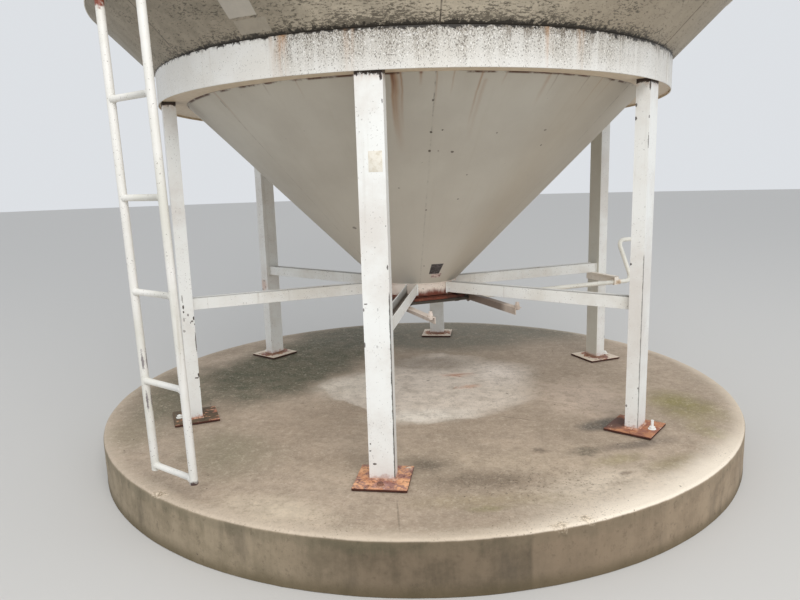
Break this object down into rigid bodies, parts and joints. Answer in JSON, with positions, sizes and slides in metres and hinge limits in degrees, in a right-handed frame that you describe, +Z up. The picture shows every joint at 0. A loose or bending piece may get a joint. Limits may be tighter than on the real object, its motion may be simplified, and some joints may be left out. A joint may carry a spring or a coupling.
{
  "type": "hopper-bottomed grain silo",
  "caption": "Round steel grain silo with a conical roof and a 45 degree hopper, on legs and a round concrete pad, with a ladder and a crank-driven slide gate at its outlet.",
  "frame": {"origin": "middle of the concrete pad's underside, on the silo's upright axis", "axes": "+Z up along the silo's axis; +Y is the way the picture's camera looks, so the slide gate opens towards -Y and a little towards +X"},
  "size_m": [3.954, 3.954, 7.2718],
  "materials": {
    "concrete": "weathered cast concrete, stained",
    "white_paint": "weathered white paint with rust chips",
    "wall_paint": "weathered off-white paint with mildew",
    "hopper_paint": "dull weathered paint with mildew and rust runs",
    "rusted_steel": "rusted steel with paint remains",
    "dark_steel": "dark brown rusted steel"
  },
  "bodies": {
    "silo": {"concrete_pad": "concrete", "base_plate_1": "rusted_steel", "leg_1": "white_paint", "spoke_1": "white_paint", "base_plate_2": "rusted_steel", "leg_2": "white_paint", "spoke_2": "white_paint", "base_plate_3": "rusted_steel", "leg_3": "white_paint", "spoke_3": "white_paint", "base_plate_4": "rusted_steel", "leg_4": "white_paint", "spoke_4": "white_paint", "base_plate_5": "rusted_steel", "leg_5": "white_paint", "spoke_5": "white_paint", "base_plate_6": "rusted_steel", "leg_6": "white_paint", "spoke_6": "white_paint", "ring_girder": "white_paint", "hopper_gore_1": "hopper_paint", "hopper_gore_2": "hopper_paint", "hopper_gore_3": "hopper_paint", "hopper_gore_4": "hopper_paint", "hopper_gore_5": "hopper_paint", "hopper_gore_6": "hopper_paint", "hopper_gore_7": "hopper_paint", "wall_1_sheet_1": "wall_paint", "wall_1_sheet_2": "wall_paint", "wall_1_sheet_3": "wall_paint", "wall_2_sheet_1": "wall_paint", "wall_2_sheet_2": "wall_paint", "wall_2_sheet_3": "wall_paint", "roof_panel_1": "wall_paint", "roof_panel_2": "wall_paint", "roof_panel_3": "wall_paint", "roof_panel_4": "wall_paint", "fill_collar": "white_paint", "fill_lid": "white_paint", "outlet_hub": "rusted_steel", "gate_frame": "dark_steel", "gate_rail_left": "white_paint", "gate_rail_right": "white_paint", "crank_bracket": "white_paint", "ladder_lower": "white_paint", "ladder_upper": "white_paint", "ladder_bracket_1": "white_paint", "ladder_bracket_2": "white_paint", "ladder_bracket_3": "white_paint"},
    "slide_gate": {"gate_plate": "dark_steel"},
    "crank": {"gate_crank": "white_paint"}
  },
  "joints": [
    {"name": "crank_turn", "type": "hinge", "parent": "silo", "child": "crank", "pos_m": [0.10222, -0.23906, 0.87], "axis": [0.9195, 0.3931, 0], "range_deg": [0, 1620]},
    {"name": "gate_slide", "type": "slide", "parent": "silo", "child": "slide_gate", "axis": [0.3931, -0.9195, 0], "range_m": [0, 0.495]}
  ],
  "couplings": [
    {"joint": "gate_slide", "follows": "crank_turn", "m_per_rad": 0.0175}
  ]
}
